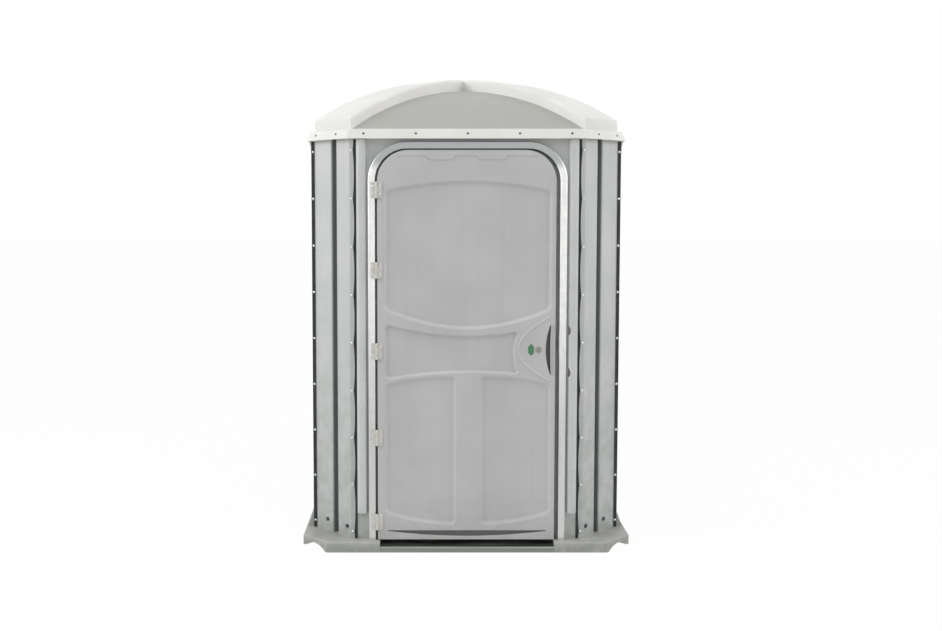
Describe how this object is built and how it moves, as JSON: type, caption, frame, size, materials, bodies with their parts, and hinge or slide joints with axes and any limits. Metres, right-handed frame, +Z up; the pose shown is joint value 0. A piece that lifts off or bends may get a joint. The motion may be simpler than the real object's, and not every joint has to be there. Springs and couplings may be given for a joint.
{
  "type": "portable toilet cabin",
  "caption": "Free-standing portable toilet cabin with wide access: octagonal plastic walls on a low base, domed ribbed roof, outward door with slide latch, seat and tank inside.",
  "frame": {"origin": "on the ground under the middle of the base", "axes": "+Z up, -Y out through the door, +X to the right seen from the front"},
  "size_m": [1.574, 1.574, 2.286],
  "materials": {
    "base_plastic": "satin moulded",
    "wall_plastic": "satin moulded",
    "door_plastic": "satin moulded",
    "roof_plastic": "satin translucent",
    "pipe_plastic": "satin",
    "frame_aluminium": "bright mill finish",
    "strip_rubber": "dark, matt",
    "hinge_nylon": "semi-gloss moulded",
    "steel_fasteners": "bright",
    "grab_rail_steel": "brushed",
    "tank_plastic": "textured moulded",
    "seat_plastic": "gloss moulded",
    "latch_nylon": "semi-gloss moulded",
    "spindle_metal": "satin",
    "indicator": "two-colour printed",
    "window": "clear",
    "dispenser_plastic": "semi-gloss moulded",
    "paper": "matt"
  },
  "bodies": {
    "cabin": {"base_pan": "base_plastic", "threshold_plate": "frame_aluminium", "threshold_screws": "steel_fasteners", "corner_panel_front_left": "wall_plastic", "corner_panel_front_right": "wall_plastic", "corner_panel_rear_left": "wall_plastic", "corner_panel_rear_right": "wall_plastic", "front_panel": "wall_plastic", "side_wall_left": "wall_plastic", "side_wall_right": "wall_plastic", "rear_wall": "wall_plastic", "seam_rivets": "steel_fasteners", "seam_strips": "strip_rubber", "base_bolts": "steel_fasteners", "wall_vents": "wall_plastic", "roof": "roof_plastic", "roof_screws": "steel_fasteners", "vent_pipe": "pipe_plastic", "vent_collar": "roof_plastic", "vent_cap": "pipe_plastic", "door_frame": "frame_aluminium", "front_post_left": "wall_plastic", "front_post_right": "wall_plastic", "strike_plate": "steel_fasteners", "frame_screws": "steel_fasteners", "door_seal": "strip_rubber", "hinge_frame_leaves": "hinge_nylon", "hinge_pins": "steel_fasteners", "waste_tank": "tank_plastic", "tank_screws": "steel_fasteners", "seat_bracket": "seat_plastic", "seat_bracket_screws": "steel_fasteners", "seat_pin": "steel_fasteners", "grab_bar_side": "grab_rail_steel", "grab_bar_rear": "grab_rail_steel", "grab_bar_flanges": "grab_rail_steel", "grab_bar_screws": "steel_fasteners", "dispenser_body": "dispenser_plastic", "dispenser_screws": "steel_fasteners", "dispenser_pin": "steel_fasteners", "roll_rod": "dispenser_plastic", "coat_hook": "grab_rail_steel"},
    "door": {"door_outer_skin": "door_plastic", "door_inner_skin": "door_plastic", "hinge_door_leaves": "hinge_nylon", "door_screws": "steel_fasteners", "grip_insert": "door_plastic", "indicator_window": "window", "latch_case": "latch_nylon", "inner_pull": "latch_nylon"},
    "spindle": {"latch_spindle": "spindle_metal", "latch_pinion": "latch_nylon", "latch_lever": "spindle_metal", "indicator_disc": "indicator"},
    "bolt": {"latch_bolt": "latch_nylon"},
    "seat": {"seat_ring": "seat_plastic"},
    "lid": {"seat_lid": "seat_plastic"},
    "cover": {"dispenser_cover": "dispenser_plastic"},
    "roll_front": {"paper_roll_front": "paper"},
    "roll_rear": {"paper_roll_rear": "paper"}
  },
  "joints": [
    {"name": "door_swing", "type": "hinge", "parent": "cabin", "child": "door", "pos_m": [-0.425, -0.762, 0.953], "axis": [0, 0, -1], "range_deg": [0, 120]},
    {"name": "latch_turn", "type": "hinge", "parent": "door", "child": "spindle", "pos_m": [0.334, -0.755, 0.959], "axis": [0, 1, 0], "range_deg": [0, 90]},
    {"name": "bolt_slide", "type": "slide", "parent": "door", "child": "bolt", "axis": [1, 0, 0], "range_m": [0, 0.0301]},
    {"name": "seat_lift", "type": "hinge", "parent": "cabin", "child": "seat", "pos_m": [-0.264, 0.618, 0.434], "axis": [-1, 0, 0], "range_deg": [0, 95]},
    {"name": "lid_close", "type": "hinge", "parent": "cabin", "child": "lid", "pos_m": [-0.264, 0.618, 0.434], "axis": [-1, 0, 0], "range_deg": [-95, 0]},
    {"name": "cover_lift", "type": "hinge", "parent": "cabin", "child": "cover", "pos_m": [-0.689, 0, 0.646], "axis": [0, -1, 0], "range_deg": [0, 85]},
    {"name": "roll_front_spin", "type": "hinge", "parent": "cabin", "child": "roll_front", "pos_m": [-0.632, 0, 0.564], "axis": [0, 1, 0], "continuous": true},
    {"name": "roll_rear_spin", "type": "hinge", "parent": "cabin", "child": "roll_rear", "pos_m": [-0.632, 0, 0.564], "axis": [0, 1, 0], "continuous": true}
  ],
  "couplings": [
    {"joint": "bolt_slide", "follows": "latch_turn", "m_per_rad": 0.019099}
  ]
}
